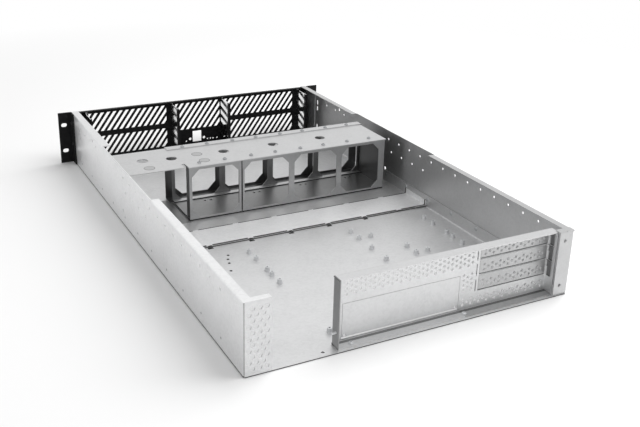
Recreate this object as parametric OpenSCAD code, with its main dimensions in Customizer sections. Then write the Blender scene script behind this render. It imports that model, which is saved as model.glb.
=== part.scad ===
// Open two-unit rackmount server case in bent sheet metal.
// Every piece is drawn on a bench frame: X runs inward from the power supply side wall,
// Y runs forward from the rear edge and Z rises from the underside of the floor.
// in_case() then turns the bench frame so that the front faces -Y and the rear faces +Y.

/* [Case] */
// Outside width over the two side walls
body_w = 438; // [425:1:446]
// Length from the rear edge to the front face
body_l = 725; // [690:1:800]
// Height of the side walls
body_h = 88; // [86.5:0.5:92]
// Thickness of the case sheet
sheet_t = 1.2; // [1:0.1:1.6]
// Inner radius of the bends
bend_r = 0.8; // [0.5:0.1:1.4]

/* [Side walls] */
// Width of the inward flange on top of each side wall
wall_flange_w = 11; // [8:0.5:14]
// Length of that flange from the rear edge
wall_flange_rear_l = 300; // [200:5:340]
// Length of that flange behind the front panel
wall_flange_front_l = 194; // [120:2:200]
// Pitch of the wall holes along the case
wall_pitch = 30.2; // [28:0.1:30.5]
// Distance of the first wall hole from the rear edge
wall_hole_first = 63.4; // [55:0.1:66]
// Diameter of the wall holes
wall_hole_d = 3.6; // [3:0.1:5]
// Height of the upper row of wall holes
wall_row_z = 74; // [68:0.5:76]
// Distance from the upper row down to the short second row
wall_row_step = 19.2; // [15:0.1:24]
// Diameter of the rail holes
rail_hole_d = 5; // [4:0.1:7]
// Width of the perforated rear return beside the power supply bay
vent_return_w = 32; // [28:0.5:34]
// Width of the plain rear return beside the expansion slots
plain_return_w = 22; // [20:0.5:24]
// Depth of the flange on top of the perforated return
return_flange_l = 9; // [6:0.5:12]
// Gap under the rear returns
return_gap = 2.8; // [2:0.1:5]

/* [Floor] */
// Height of the upturned floor flange riveted inside each wall
tray_flange_h = 20; // [17:0.5:24]
// Height of the rivet row above the underside
rivet_z = 14; // [13.5:0.5:16]
// Distance from the rear edge of the case to the step plate
step_plate_back = 308.3; // [305:0.1:315]
// Front to back size of the step plate
step_plate_l = 58.4; // [50:0.2:62]
// Height of the step plate above the floor
step_plate_h = 2.4; // [2.2:0.1:3]
// Pitch of the notches in the edges of the step plate
step_notch_pitch = 61; // [56:0.5:62]

/* [Rack ears] */
// Overall width over the two ears
rack_w = 482.6; // [478:0.1:486]
// Thickness of the ears
ear_t = 2; // [1.5:0.1:3]
// Length of the ear leg along the wall
ear_leg_l = 17.6; // [14:0.1:24]
// Spacing across the rack between the slot centres
rack_hole_w = 465.1; // [463:0.1:467]
// Spacing between the two slots of one ear
rack_hole_h = 44.45; // [40:0.05:50]
// Width across the ear slots
rack_slot_d = 6.8; // [6:0.1:7.5]
// End to end length of the ear slots
rack_slot_l = 9.6; // [8:0.1:11]

/* [Front grille] */
// Thickness of the front sheet and of its brackets
front_t = 1; // [0.8:0.1:1.6]
// Width of the two outer slotted fields
field_w = 136.3; // [120:0.1:137]
// Distance from each side of the case to its outer field
field_inset = 28; // [27.5:0.5:34]
// Width of the slotted field in the middle
mid_field_w = 83; // [70:1:84]
// Distance from the side of the case to the middle field
mid_field_inset = 181; // [181:0.5:184]
// Height of the top of the slotted fields
field_top_z = 80.5; // [78:0.5:82]
// Height of the bottom of the outer fields
field_bottom_z = 5.5; // [4:0.5:8]
// Height of the bottom of the middle field
mid_field_bottom_z = 32; // [31.5:0.5:36]
// Height of the middle of the bar between the two rows
field_bar_z = 43.3; // [41:0.5:46]
// Height of that bar
field_bar_h = 9; // [6:0.5:12]
// Pitch of the slanted slots
slash_pitch = 10.7; // [9:0.1:13]
// Width of a slanted slot measured along the row
slash_open = 5.6; // [4:0.1:6]
// Lean of the slots from upright
slash_lean = 36; // [25:1:45]

/* [Bay plates] */
// Depth of the slotted plates behind the grille
bay_plate_l = 42; // [34:0.5:48]
// Pitch of the slanted slots in those plates
bay_slot_pitch = 9.2; // [8:0.1:12]
// Height of one slot opening in those plates
bay_slot_open = 6.2; // [4:0.1:6.6]
// Drop of a slot towards the rear
bay_slot_drop = 13; // [6:0.5:16]

/* [Fan wall] */
// Number of fan bays
bay_count = 4; // [4:1:4]
// Pitch of the fan bays
fan_pitch = 81.4; // [79:0.1:82]
// Distance from the rear edge of the case to the rear face of the fan cages
fan_back = 403; // [400:0.5:406]
// Depth of the fan cages
cage_l = 78; // [74:0.5:80]
// Distance from the rear of the cages to the fan partition
partition_offset = 96; // [92:0.5:98]
// Gap between the fan wall and the side wall next to the expansion slots
cage_wall_gap = 23; // [18:0.5:28]
// Width of the web between two fan windows
fan_web_w = 9; // [7:0.5:12]
// Cut of the window corners
fan_chamfer = 13; // [9:0.5:18]
// Height of the bridge plate's underside
bridge_z = 82.4; // [80:0.2:83]
// Gap under the rear sill of the cages
cage_foot_h = 1.9; // [1:0.1:3]
// Diameter of the cable holes in the bridge plate
cable_hole_d = 16; // [12:0.5:18]

/* [Rear panel] */
// Width of the recessed rear panel
rear_panel_w = 304; // [300:0.5:306]
// Distance of the panel face from the rear edge
rear_recess = 18; // [14:0.5:22]
// Distance of its flanges from the rear edge
rear_flange_back = 4; // [3:0.5:6]
// Distance from the panel's end to the connector window
io_inset = 11.8; // [10:0.1:13]
// Width of the connector window
io_w = 158.75; // [155:0.25:160]
// Height of the connector window
io_h = 44.45; // [40:0.05:46]
// Height of the bottom of the connector window
io_z = 5; // [4.5:0.5:8]
// Pitch of the expansion slots
slot_pitch = 20.32; // [19.8:0.02:20.6]
// Width of the expansion slot window
slot_w = 104.4; // [100:0.2:105]
// Height of the bottom of the lowest slot
slot_z = 24.2; // [23.5:0.1:25]
// Gap between neighbouring slot covers
slot_gap = 1.7; // [1.2:0.1:2.4]
// Thickness of the slot covers
cover_t = 1; // [0.8:0.1:1.2]

/* [Vent holes] */
// Distance between the columns of the fine perforation
vent_pitch_x = 5.9; // [5.6:0.1:7]
// Distance between the holes of one column
vent_pitch_z = 6.6; // [6.2:0.1:7]
// Width over corners of a fine vent hole
vent_hole_w = 4.2; // [3:0.1:4.6]
// Distance between neighbouring holes of the coarse perforation in the rear return
return_vent_pitch = 8.2; // [7.8:0.1:8.4]
// Width over corners of a coarse vent hole
return_vent_w = 6.4; // [4:0.1:6.6]

/* [Board supports] */
// Distance from the panel's end to the first column of board supports
board_inset = 10.5; // [9:0.5:12]
// Distance from the rear edge to the rear row
board_back = 42.6; // [40:0.2:46]
// Distance from the first to the middle column
board_col_mid = 157.48; // [157:0.01:158]
// Distance from the first to the last column
board_col_last = 281.94; // [281:0.01:282.5]
// Distance from the rear row to the middle row
board_row_mid = 154.94; // [154:0.01:156]
// Distance from the rear row to the front row
board_row_last = 227.33; // [227:0.01:228]
// Distance between the two board patterns along the case
board_second_shift = 23.1; // [21:0.1:26]
// Height of a board support above the floor
standoff_h = 6; // [4:0.5:8]
// Diameter of a board support
standoff_d = 6.4; // [5.5:0.1:8]
// Diameter of the threaded hole in a board support
standoff_bore_d = 2.6; // [2:0.1:3]

/* [Fasteners] */
// Diameter of screw and rivet shanks
shank_d = 3; // [2.5:0.1:3.2]
// Clearance between a shank and its hole, on the diameter
shank_play = 0.3; // [0.2:0.05:0.6]
// Diameter of a screw head
head_d = 6; // [5:0.1:7]
// Height of a screw head
head_h = 1.8; // [1.2:0.1:2.4]
// Length of a screw under its head
screw_l = 5; // [4.5:0.1:6]
// Height of a rivet head
rivet_head_h = 1; // [0.6:0.1:1.5]

/* [Hidden] */

zinc = [0.80, 0.81, 0.82];
bright_zinc = [0.88, 0.88, 0.89];
black = [0.07, 0.07, 0.08];
steel = [0.66, 0.67, 0.69];

// Overrun of every cut past the face it opens
cut = 1;
// Overlap of the pieces of one bent sheet
lap = 0.1;
driver_share = 0.4;
bend_steps = 3;
round_fn = 40;
hole_fn = 20;
bend_out = bend_r + sheet_t;
wall_in = body_w - sheet_t;
front_back_y = body_l - front_t;
hole_d = shank_d + shank_play;
fan_x0 = body_w - cage_wall_gap - bay_count * fan_pitch;
fan_x1 = fan_x0 + bay_count * fan_pitch;
partition_y = fan_back + partition_offset;
bridge_top_z = bridge_z + sheet_t;
window_z0 = 5.6;
window_top_gap = 3.4;
window_z1 = bridge_z - window_top_gap;
panel_end_gap = 20.5;
panel_x1 = body_w - panel_end_gap;
panel_x0 = panel_x1 - rear_panel_w;
panel_top_z = body_h - 0.9 * sheet_t;
io_x0 = panel_x0 + io_inset;
slot_end_gap = 1.8;
slot_x1 = panel_x1 - slot_end_gap;
slot_x0 = slot_x1 - slot_w;
slot_count = 3;
slot_top_z = slot_z + slot_count * slot_pitch;
board_x0 = panel_x0 + board_inset;
ear_out = (rack_w - body_w) / 2;

// Turn from the bench frame to the case frame
module in_case() {
  translate([body_w / 2, body_l / 2, 0]) rotate([0, 0, 180]) children();
}

// Stand a drawing up across the case, its first axis along X and its second along Z
module across(y0, t) {
  translate([0, y0 + t, 0]) rotate([90, 0, 0]) linear_extrude(t) children();
}

// Stand a drawing up along the case, its first axis along Y and its second along Z
module along(x0, t) {
  translate([x0, 0, 0]) rotate([90, 0, 90]) linear_extrude(t) children();
}

function arc(cx, cy, r, a0, a1) = [
  for (i = [0 : bend_steps]) let (a = a0 + (a1 - a0) * i / bend_steps) [cx + r * cos(a), cy + r * sin(a)]];

// Section of a right-angled bend with its outer corner at the origin and its legs along +X and +Y
function bend_section(leg_x, leg_y, t, r = bend_r) = concat(
  [[leg_x, 0], [leg_x, t]], arc(r + t, r + t, r, 270, 180),
  [[t, leg_y], [0, leg_y]], arc(r + t, r + t, r + t, 180, 270));

module bend(leg_x, leg_y, t = sheet_t) {
  polygon(bend_section(leg_x, leg_y, t));
}

// Rectangle between two corners
module span(x0, y0, x1, y1) {
  translate([x0, y0]) square([x1 - x0, y1 - y0]);
}

// Rectangle with its four corners cut off
module cut_corner_window(x0, z0, x1, z1, c) {
  polygon([[x0 + c, z0], [x1 - c, z0], [x1, z0 + c], [x1, z1 - c],
    [x1 - c, z1], [x0 + c, z1], [x0, z1 - c], [x0, z0 + c]]);
}

// Six-sided holes in upright columns about the height cz, every second column one hole shorter
module vent_field(x0, x1, cz, rows, px, pz, w, first_short = 0) {
  columns = floor((x1 - x0 - w) / px);
  for (i = [0 : columns]) let (count = rows - (i + first_short) % 2)
    for (k = [0 : count - 1])
      translate([(x0 + x1 + (2 * i - columns) * px) / 2, cz + (2 * k - count + 1) * pz / 2])
        circle(d = w, $fn = 6);
}

// Leaning slots trimmed to a rectangle
module slash_field(x0, z0, x1, z1) {
  lean = (z1 - z0) * tan(slash_lean);
  count = ceil((x1 - x0 + lean) / slash_pitch);
  intersection() {
    span(x0, z0, x1, z1);
    for (i = [0 : count]) let (x = x0 - lean + i * slash_pitch)
      polygon([[x, z0], [x + slash_open, z0], [x + slash_open + lean, z1], [x + lean, z1]]);
  }
}

// Pan head screw with its seat at the origin and its shank along -Z
module screw(length = screw_l) {
  translate([0, 0, -length]) cylinder(h = length, d = shank_d, $fn = hole_fn);
  difference() {
    rotate_extrude($fn = round_fn)
      polygon([[0, 0], [head_d / 2, 0], [head_d / 2, head_h / 2], [head_d / 3, head_h], [0, head_h]]);
    translate([0, 0, head_h / 2]) cylinder(h = head_h, d = head_d * driver_share, $fn = 6);
  }
}

// Flush rivet along +Z through a stack of sheet, with its dome on the far side
module rivet(stack) {
  cylinder(h = stack, d = shank_d, $fn = hole_fn);
  translate([0, 0, stack]) rotate_extrude($fn = hole_fn)
    polygon([[0, 0], [head_d / 2, 0], [head_d / 3, rivet_head_h], [0, rivet_head_h]]);
}

// Places along the case

wall_high_count = 13;
wall_low_first_step = 9;
wall_low_count = 4;
slot_wall_back = 52.3;
slot_wall_zs = [for (s = [0.16, 0.27, 0.665, 0.79]) s * body_h];
slot_wall_h = 8;
slot_wall_w = 3.6;
front_hole_backs = [88, 119.6, 151.2];
front_hole_z = 73.3;
rail_hole_z = 22.6;
rail_hole_back = 431.6;
rail_front_z = 78;
rail_front_back = 134.4;
rivet_step = 2;
rivet_count = 11;

function station(k) = wall_hole_first + k * wall_pitch;
rivet_ys = [for (k = [0 : rivet_count - 1]) station(k * rivet_step)];

// Holes of a side wall, drawn with Y across and Z up
module wall_holes() {
  for (k = [0 : wall_high_count - 1]) translate([station(k), wall_row_z]) circle(d = wall_hole_d, $fn = hole_fn);
  for (k = [0 : wall_low_count - 1])
    translate([station(wall_low_first_step + k) - wall_pitch / 3, wall_row_z - wall_row_step])
      circle(d = wall_hole_d, $fn = hole_fn);
  for (b = front_hole_backs) translate([body_l - b, front_hole_z]) circle(d = wall_hole_d, $fn = hole_fn);
  for (z = slot_wall_zs)
    translate([body_l - slot_wall_back, z]) square([slot_wall_w, slot_wall_h], center = true);
  for (y = rivet_ys) translate([y, rivet_z]) circle(d = hole_d, $fn = hole_fn);
  for (z = ear_screw_zs) translate([body_l - ear_leg_l + ear_screw_inset, z]) circle(d = hole_d, $fn = hole_fn);
  translate([rail_hole_back, rail_hole_z]) circle(d = rail_hole_d, $fn = hole_fn);
  translate([body_l - rail_front_back, rail_front_z]) circle(d = rail_hole_d, $fn = hole_fn);
}

// Side wall against x = 0 with its flanges turned towards +X
module side_wall(return_w, has_vents) {
  flange_front_y = front_back_y - wall_flange_front_l;
  bend_z = body_h - bend_out;
  along(0, sheet_t) difference() {
    union() {
      span(bend_out, 0, front_back_y, bend_z);
      span(wall_flange_rear_l, bend_z - cut, flange_front_y, body_h);
    }
    wall_holes();
  }
  for (r = [[0, wall_flange_rear_l], [flange_front_y, front_back_y]])
    across(r[0], r[1] - r[0]) translate([0, body_h]) mirror([0, 1]) bend(wall_flange_w, bend_out);
  rear_return(return_w, has_vents);
}

module rear_return(return_w, has_vents) {
  bend_z = body_h - bend_out;
  translate([0, 0, return_gap]) linear_extrude(bend_z - return_gap) bend(bend_out, bend_out);
  linear_extrude(return_gap) span(0, bend_out, sheet_t, 2 * bend_out);
  across(0, sheet_t) difference() {
    span(bend_out, return_gap, return_w, bend_z);
    if (has_vents)
      vent_field(bend_out, return_w - bend_out, (return_gap + bend_z) / 2, return_vent_rows,
        return_vent_pitch / 2, return_vent_pitch * sqrt(3), return_vent_w, 1);
    else
      for (z = [strip_hole_z, strip_hole_z + strip_hole_pitch])
        translate([return_w - strip_hole_inset, z]) circle(d = strip_hole_d, $fn = hole_fn);
  }
  along(0, return_w) translate([0, body_h]) mirror([0, 1]) bend(return_flange_l, bend_out);
}
return_vent_rows = 6;
strip_hole_z = 14.8;
strip_hole_pitch = 60.6;
strip_hole_inset = 8.7;
strip_hole_d = 4.6;

module right_side_wall() {
  color(bright_zinc) in_case() side_wall(vent_return_w, true);
}

module left_side_wall() {
  color(zinc) in_case() translate([body_w, 0, 0]) mirror([1, 0, 0]) side_wall(plain_return_w, false);
}

// Floor

floor_hole_d = 4;
floor_hole_row = 57.6;
floor_hole_step = 9.4;
floor_hole_inset = 44.6;
tray_flange_back = 8;
tray_holes = [[95.6, 275.5], [90.9, 264.4], [88.2, 253.2], [81.6, 231.5], [96.8, 7.7]];

// Floor with an upturned flange inside each wall
module base_tray() {
  color(zinc) in_case() difference() {
    union() {
      linear_extrude(sheet_t) {
        span(sheet_t + bend_out, 0, wall_in - bend_out, front_back_y);
        span(sheet_t, 0, wall_in, tray_flange_back);
      }
      for (side = [0, 1]) translate([side * body_w, 0, 0]) mirror([side, 0, 0])
        across(tray_flange_back, front_back_y - tray_flange_back)
          translate([sheet_t, 0]) bend(bend_out, tray_flange_h);
    }
    for (side = [0, 1], y = rivet_ys) translate([side * body_w, y, rivet_z]) mirror([side, 0, 0])
      rotate([0, 90, 0]) cylinder(h = 3 * sheet_t, d = hole_d, $fn = hole_fn);
    translate([0, 0, -cut]) linear_extrude(sheet_t + 2 * cut) {
      for (k = [0 : bay_count - 1], m = [0, 1])
        translate([fan_x0 + k * fan_pitch + floor_hole_inset + m * floor_hole_step, fan_back + floor_hole_row])
          circle(d = floor_hole_d, $fn = hole_fn);
      for (h = tray_holes) translate(h) circle(d = floor_hole_d, $fn = hole_fn);
      for (x = floor_screw_xs) translate([x, floor_screw_back]) circle(d = hole_d, $fn = hole_fn);
    }
  }
}

step_plate_play = 0.3;
step_side_h = 9.5;
step_notch_w = 5;
step_notch_first = 21.6;
step_notch_count = 7;

// Low raised plate over the floor behind the fan wall: notched edges turned down, one end turned up
module step_plate() {
  x0 = 2 * sheet_t + bend_r + step_plate_play;
  x1 = wall_in - sheet_t - step_plate_play;
  edge_x1 = body_w - cage_wall_gap;
  top_z = sheet_t + step_plate_h;
  mid_y = step_plate_back + step_plate_l / 2;
  color(zinc) in_case() difference() {
    union() {
      for (side = [0, 1]) translate([0, side * 2 * mid_y, 0]) mirror([0, side, 0])
        along(x0, edge_x1 - x0) translate([step_plate_back, top_z]) mirror([0, 1])
          bend(step_plate_l / 2 + lap, step_plate_h);
      across(step_plate_back, step_plate_l)
        translate([x1, top_z - sheet_t]) mirror([1, 0]) bend(x1 - edge_x1 + lap, step_side_h);
    }
    for (k = [0 : step_notch_count - 1], y = [step_plate_back, step_plate_back + step_plate_l])
      translate([step_notch_first + k * step_notch_pitch - step_notch_w / 2, y - sheet_t - cut, 0])
        cube([step_notch_w, 2 * (sheet_t + cut), top_z - sheet_t]);
  }
}

// Front

panel_bottom_z = 0.4;
front_top_z = body_h - 1.4;
front_lip_l = 5;
port_x0 = 196;
port_x1 = 262;
port_z0 = 4;
port_z1 = 29;

// Slotted front sheet with a short lip along its top
module front_panel() {
  upper_z = field_bar_z + field_bar_h / 2;
  lower_z = field_bar_z - field_bar_h / 2;
  far_x = body_w - field_inset - field_w;
  color(black) in_case() {
    across(front_back_y, front_t) difference() {
      span(0, panel_bottom_z, body_w, front_top_z);
      for (x = [field_inset, far_x]) {
        slash_field(x, upper_z, x + field_w, field_top_z);
        slash_field(x, field_bottom_z, x + field_w, lower_z);
      }
      slash_field(mid_field_inset, mid_field_bottom_z, mid_field_inset + mid_field_w, field_top_z);
      span(port_x0, port_z0, port_x1, port_z1);
    }
    translate([wall_flange_w + front_t, front_back_y - front_lip_l, front_top_z - front_t])
      cube([body_w - 2 * (wall_flange_w + front_t), front_lip_l + front_t, front_t]);
  }
}

port_bracket_x0 = 184;
port_bracket_x1 = 264;
port_bracket_h = 31;
port_bracket_l = 26;
usb_x = 219.7;
usb_z = 17.5;
usb_w = 16.5;
usb_h = 20;
port_hole_d = 5;
port_hole_z = 13.4;
port_hole_offset = 13.1;
lamp_hole_d = 2.6;
lamp_hole_z = 9.9;
lamp_hole_xs = [199.4, 239.6, 245.3, 250.4, 258];

// Small bracket behind the front sheet that carries the front ports
module front_port_bracket() {
  color(black) in_case() {
    across(front_back_y - front_t, front_t) difference() {
      span(port_bracket_x0, sheet_t + bend_out, port_bracket_x1, port_bracket_h);
      translate([usb_x, usb_z]) square([usb_w, usb_h], center = true);
      for (s = [-1, 1]) translate([usb_x + s * port_hole_offset, port_hole_z]) circle(d = port_hole_d, $fn = hole_fn);
      for (x = lamp_hole_xs) translate([x, lamp_hole_z]) circle(d = lamp_hole_d, $fn = hole_fn);
    }
    along(port_bracket_x0, port_bracket_x1 - port_bracket_x0)
      translate([front_back_y, sheet_t]) mirror([1, 0]) bend(port_bracket_l, bend_out + lap, front_t);
  }
}

bay_plate_top_z = 84;
bay_margin = 4;
bay_rear_rise = 16;
field_web_gap = 3.4;
wide_flange_w = 12;
narrow_flange_w = 5;

// Angle behind the grille: a flange on the front sheet and a web with slot_rows rows of slots
module bay_plate(web_x, flange_w, slot_rows) {
  y0 = front_back_y - bay_plate_l;
  y1 = front_back_y - bend_out;
  z0 = sheet_t;
  z1 = bay_plate_top_z;
  color(black) in_case() {
    translate([web_x, front_back_y, z0]) rotate([0, 0, 180])
      linear_extrude(z1 - z0) bend(flange_w, bend_out + lap, front_t);
    along(web_x - front_t, front_t) difference() {
      polygon([[y1, z0], [y1, z1], [y0, z1], [y0, z0 + bay_rear_rise]]);
      if (slot_rows > 0)
        bay_slots(y0 + bay_margin, field_bar_z + field_bar_h / 2, y1 - bay_margin, z1 - bay_margin);
      if (slot_rows > 1)
        bay_slots(y0 + bay_margin, z0 + bay_rear_rise + bay_margin, y1 - bay_margin, field_bar_z - field_bar_h / 2);
    }
  }
}

// Slots that fall towards the rear, trimmed to a rectangle
module bay_slots(y0, z0, y1, z1) {
  count = ceil((z1 - z0 + bay_slot_drop) / bay_slot_pitch);
  intersection() {
    span(y0, z0, y1, z1);
    for (i = [0 : count]) let (z = z0 - bay_slot_drop + i * bay_slot_pitch)
      polygon([[y0, z], [y1, z + bay_slot_drop], [y1, z + bay_slot_drop + bay_slot_open], [y0, z + bay_slot_open]]);
  }
}

module bay_plate_1() {
  bay_plate(field_inset - field_web_gap, wide_flange_w, 0);
}

module bay_plate_2() {
  bay_plate(mid_field_inset - 3 * front_t, wide_flange_w, 2);
}

module bay_plate_3() {
  bay_plate(mid_field_inset + mid_field_w + narrow_flange_w + front_t, narrow_flange_w, 1);
}

module bay_plate_4() {
  bay_plate(body_w - field_inset + wide_flange_w, wide_flange_w, 2);
}

// Rack ears

ear_z0 = 0.5;
ear_z1 = body_h - ear_z0;
ear_screw_shares = [0.4, 0.8];
ear_screw_zs = [for (s = ear_screw_shares) s * body_h];
ear_screw_inset = 8;

module rack_slot() {
  run = (rack_slot_l - rack_slot_d) / 2;
  for (s = [-1, 1]) translate([s * run, 0]) circle(d = rack_slot_d, $fn = round_fn);
  span(-run, -rack_slot_d / 2, run, rack_slot_d / 2);
}

// Black angle: the leg lies on the outside of the wall and the plate stands out in the front plane
module rack_ear() {
  slot_x = (rack_hole_w - body_w) / 2;
  color(black) {
    across(body_l - ear_t, ear_t) difference() {
      span(-ear_out, ear_z0, -ear_t - bend_r, ear_z1);
      for (s = [-1, 1]) translate([-slot_x, body_h / 2 + s * rack_hole_h / 2]) rack_slot();
    }
    translate([0, body_l, ear_z0]) rotate([0, 0, 180]) linear_extrude(ear_z1 - ear_z0)
      bend(ear_t + bend_r + cut, ear_t + bend_r + cut, ear_t);
    along(-ear_t, ear_t) difference() {
      span(body_l - ear_leg_l, ear_z0, body_l - ear_t - bend_r, ear_z1);
      for (z = ear_screw_zs) translate([body_l - ear_leg_l + ear_screw_inset, z]) circle(d = hole_d, $fn = hole_fn);
    }
  }
}

module right_rack_ear() { in_case() rack_ear(); }
module left_rack_ear() { in_case() translate([body_w, 0, 0]) mirror([1, 0, 0]) rack_ear(); }

// Plain plate on the inner face of the wall that the ear screws clamp
module ear_backing() {
  color(zinc) along(sheet_t, sheet_t) difference() {
    span(front_back_y - bay_plate_l, tray_flange_h + sheet_t, front_back_y - front_lip_l, body_h - 2 * bend_out);
    for (z = ear_screw_zs) translate([body_l - ear_leg_l + ear_screw_inset, z]) circle(d = hole_d, $fn = hole_fn);
  }
}

module right_ear_backing() { in_case() ear_backing(); }
module left_ear_backing() { in_case() translate([body_w, 0, 0]) mirror([1, 0, 0]) ear_backing(); }

// Fan wall

bridge_over = 2.5;
wing_back = 3.5;
wing_notch_w = 5;
wing_notch_l = 18;
wing_drop = 12;
strip_l = 15;
bridge_screw_back = 15;
bridge_screw_spread = 39.4;
cable_hole_offset = 9.8;
cable_hole_back = 47.4;
wing_hole_x = 38.2;
wing_hole_back = 53;
wing_hole_step = 30;
knock_ring_w = 0.8;

bay_centres = [for (k = [0 : bay_count - 1]) fan_x0 + (k + 0.5) * fan_pitch];
bridge_screw_xs = [for (c = bay_centres, s = [-1, 1]) c + s * bridge_screw_spread / 2];
bridge_screw_ys = [fan_back + bridge_screw_back, partition_y - strip_l / 2 - sheet_t];

module fan_windows(first, last, z0, end_x0, end_x1) {
  for (k = [first : last]) {
    x0 = fan_x0 + k * fan_pitch + (k == first ? end_x0 : fan_web_w / 2);
    x1 = fan_x0 + (k + 1) * fan_pitch - (k == last ? end_x1 : fan_web_w / 2);
    cut_corner_window(x0, z0, x1, window_z1, fan_chamfer);
  }
}

// Sheet with a window for each fan, a flange on the floor and one on top of the bridge
module fan_partition() {
  x0 = fan_x0 - fan_web_w / 2;
  x1 = fan_x1 + fan_web_w / 2;
  color(zinc) in_case() difference() {
    union() {
      across(partition_y, sheet_t) difference() {
        span(x0, sheet_t + bend_out, x1, bridge_top_z + sheet_t - bend_out);
        fan_windows(0, bay_count - 1, window_z0, fan_web_w, fan_web_w);
      }
      along(x0, x1 - x0) {
        translate([partition_y + sheet_t, sheet_t]) mirror([1, 0])
          bend(partition_offset - cage_l, bend_out + lap);
        translate([partition_y + sheet_t, bridge_top_z + sheet_t]) rotate(180) bend(strip_l, bend_out + lap);
      }
    }
    for (x = bridge_screw_xs) translate([x, bridge_screw_ys[1], bridge_z]) cylinder(h = 3 * sheet_t, d = hole_d, $fn = hole_fn);
  }
}

// Top plate over the fans with a wing that reaches the side wall
module fan_bridge() {
  color(bright_zinc) in_case() {
    translate([0, 0, bridge_z]) linear_extrude(sheet_t) difference() {
      union() {
        span(fan_x0, fan_back, fan_x1 + bridge_over, partition_y);
        span(sheet_t + bend_out, fan_back + wing_back, fan_x0 - wing_notch_w, partition_y - bridge_over);
        span(fan_x0 - 2 * wing_notch_w, fan_back + wing_notch_l, fan_x0 + cut, partition_y - bridge_over);
      }
      for (x = bridge_screw_xs, y = bridge_screw_ys) translate([x, y]) circle(d = hole_d, $fn = hole_fn);
      for (k = [0 : bay_count - 1])
        translate([fan_x0 + k * fan_pitch - cable_hole_offset, fan_back + cable_hole_back])
          circle(d = cable_hole_d, $fn = round_fn);
      translate([wing_hole_x, fan_back + wing_hole_back]) circle(d = cable_hole_d, $fn = round_fn);
    }
    across(fan_back + wing_back, partition_offset - wing_back - bridge_over)
      translate([sheet_t, bridge_top_z]) mirror([0, 1]) bend(bend_out + lap, wing_drop);
  }
}

cage_flange_l = 22;
cage_play = 0.4;
cage_margin = 4;
cage_far_margin = 10;

// Tub for fans: windowed faces to the rear and front, two ends, a floor and a screw flange on top
module fan_cage(first, last, x0, x1, end_x1) {
  floor_z = sheet_t + cage_foot_h;
  top_z = bridge_z;
  far_y = fan_back + cage_l - sheet_t;
  color(zinc) in_case() {
    across(fan_back, sheet_t) difference() {
      span(x0, floor_z, x1, top_z - bend_out);
      fan_windows(first, last, window_z0, cage_margin, end_x1);
    }
    across(far_y, sheet_t) difference() {
      span(x0, floor_z, x1, top_z);
      fan_windows(first, last, window_z0, fan_web_w / 2, fan_web_w / 2);
    }
    translate([0, 0, floor_z]) linear_extrude(sheet_t) difference() {
      span(x0, fan_back, x1, far_y + sheet_t);
      for (k = [first : last], m = [0, 1])
        translate([fan_x0 + k * fan_pitch + floor_hole_inset + m * floor_hole_step, fan_back + floor_hole_row])
          circle(d = floor_hole_d, $fn = hole_fn);
    }
    for (x = [x0, x1 - sheet_t]) along(x, sheet_t) span(fan_back, sheet_t, far_y + sheet_t, top_z);
    difference() {
      along(x0, x1 - x0) translate([fan_back, top_z]) mirror([0, 1]) bend(cage_flange_l, bend_out + lap);
      for (x = bridge_screw_xs) translate([x, bridge_screw_ys[0], top_z - 2 * sheet_t]) cylinder(h = 3 * sheet_t, d = hole_d, $fn = hole_fn);
    }
  }
}

module single_fan_cage() { fan_cage(0, 0, fan_x0, fan_x0 + fan_pitch - cage_play, fan_web_w / 2); }
module triple_fan_cage() { fan_cage(1, bay_count - 1, fan_x0 + fan_pitch, fan_x1, cage_far_margin); }

// Rear panel

band_margin = 2;
band_rows = 4;
band_z = 70.5;
low_band_z = 12.6;
side_band_z = 39;
tail_slit_w = 1.6;
tail_slit_gap = 3;
side_hole_z = 21;
side_hole_back = 9;
floor_screw_inset = 20;
floor_screw_back = 10;
floor_screw_xs = [panel_x0 + floor_screw_inset, io_x0 + io_w + floor_screw_inset / 5];

// Recessed panel with flanges on all four sides turned towards the rear
module rear_panel() {
  flange_l = rear_recess - rear_flange_back + sheet_t;
  bend_y = rear_recess + sheet_t;
  slit_x1 = slot_x0 - tail_slit_gap;
  color(bright_zinc) in_case() difference() {
    union() {
      across(rear_recess, sheet_t) difference() {
        span(panel_x0 + bend_out, sheet_t + bend_out, panel_x1 - bend_out, panel_top_z - bend_out);
        span(io_x0, io_z, io_x0 + io_w, io_z + io_h);
        span(slot_x0, slot_z, slot_x1, slot_top_z);
        rear_panel_vents(slit_x1 - tail_slit_w);
        for (k = [0 : slot_count - 1])
          span(slit_x1 - tail_slit_w, slot_z + k * slot_pitch, slit_x1, slot_z + (k + tail_slit_share) * slot_pitch);
      }
      along(panel_x0, rear_panel_w) {
        translate([bend_y, sheet_t]) mirror([1, 0]) bend(flange_l, bend_out + lap);
        translate([bend_y, panel_top_z]) rotate(180) bend(flange_l, bend_out + lap);
      }
      translate([0, 0, sheet_t + bend_out]) linear_extrude(panel_top_z - sheet_t - 2 * bend_out) {
        translate([panel_x0, bend_y]) mirror([0, 1]) bend(bend_out + lap, flange_l);
        translate([panel_x1, bend_y]) rotate(180) bend(bend_out + lap, flange_l);
      }
    }
    for (x = floor_screw_xs) translate([x, floor_screw_back, 0]) cylinder(h = 3 * sheet_t, d = hole_d, $fn = hole_fn);
    translate([panel_x0 - cut, side_hole_back, side_hole_z]) rotate([0, 90, 0])
      cylinder(h = sheet_t + 2 * cut, d = hole_d, $fn = hole_fn);
  }
}
tail_slit_share = 0.78;

module rear_panel_vents(x1) {
  side_x0 = io_x0 + io_w + band_margin;
  vent_field(io_x0, x1 - band_margin, band_z, band_rows, vent_pitch_x, vent_pitch_z, vent_hole_w);
  vent_field(side_x0, slot_x1 - band_margin, low_band_z, 2, vent_pitch_x, vent_pitch_z, vent_hole_w);
  vent_field(side_x0, x1 - band_margin, side_band_z, band_rows, vent_pitch_x, vent_pitch_z, vent_hole_w);
}

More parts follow.
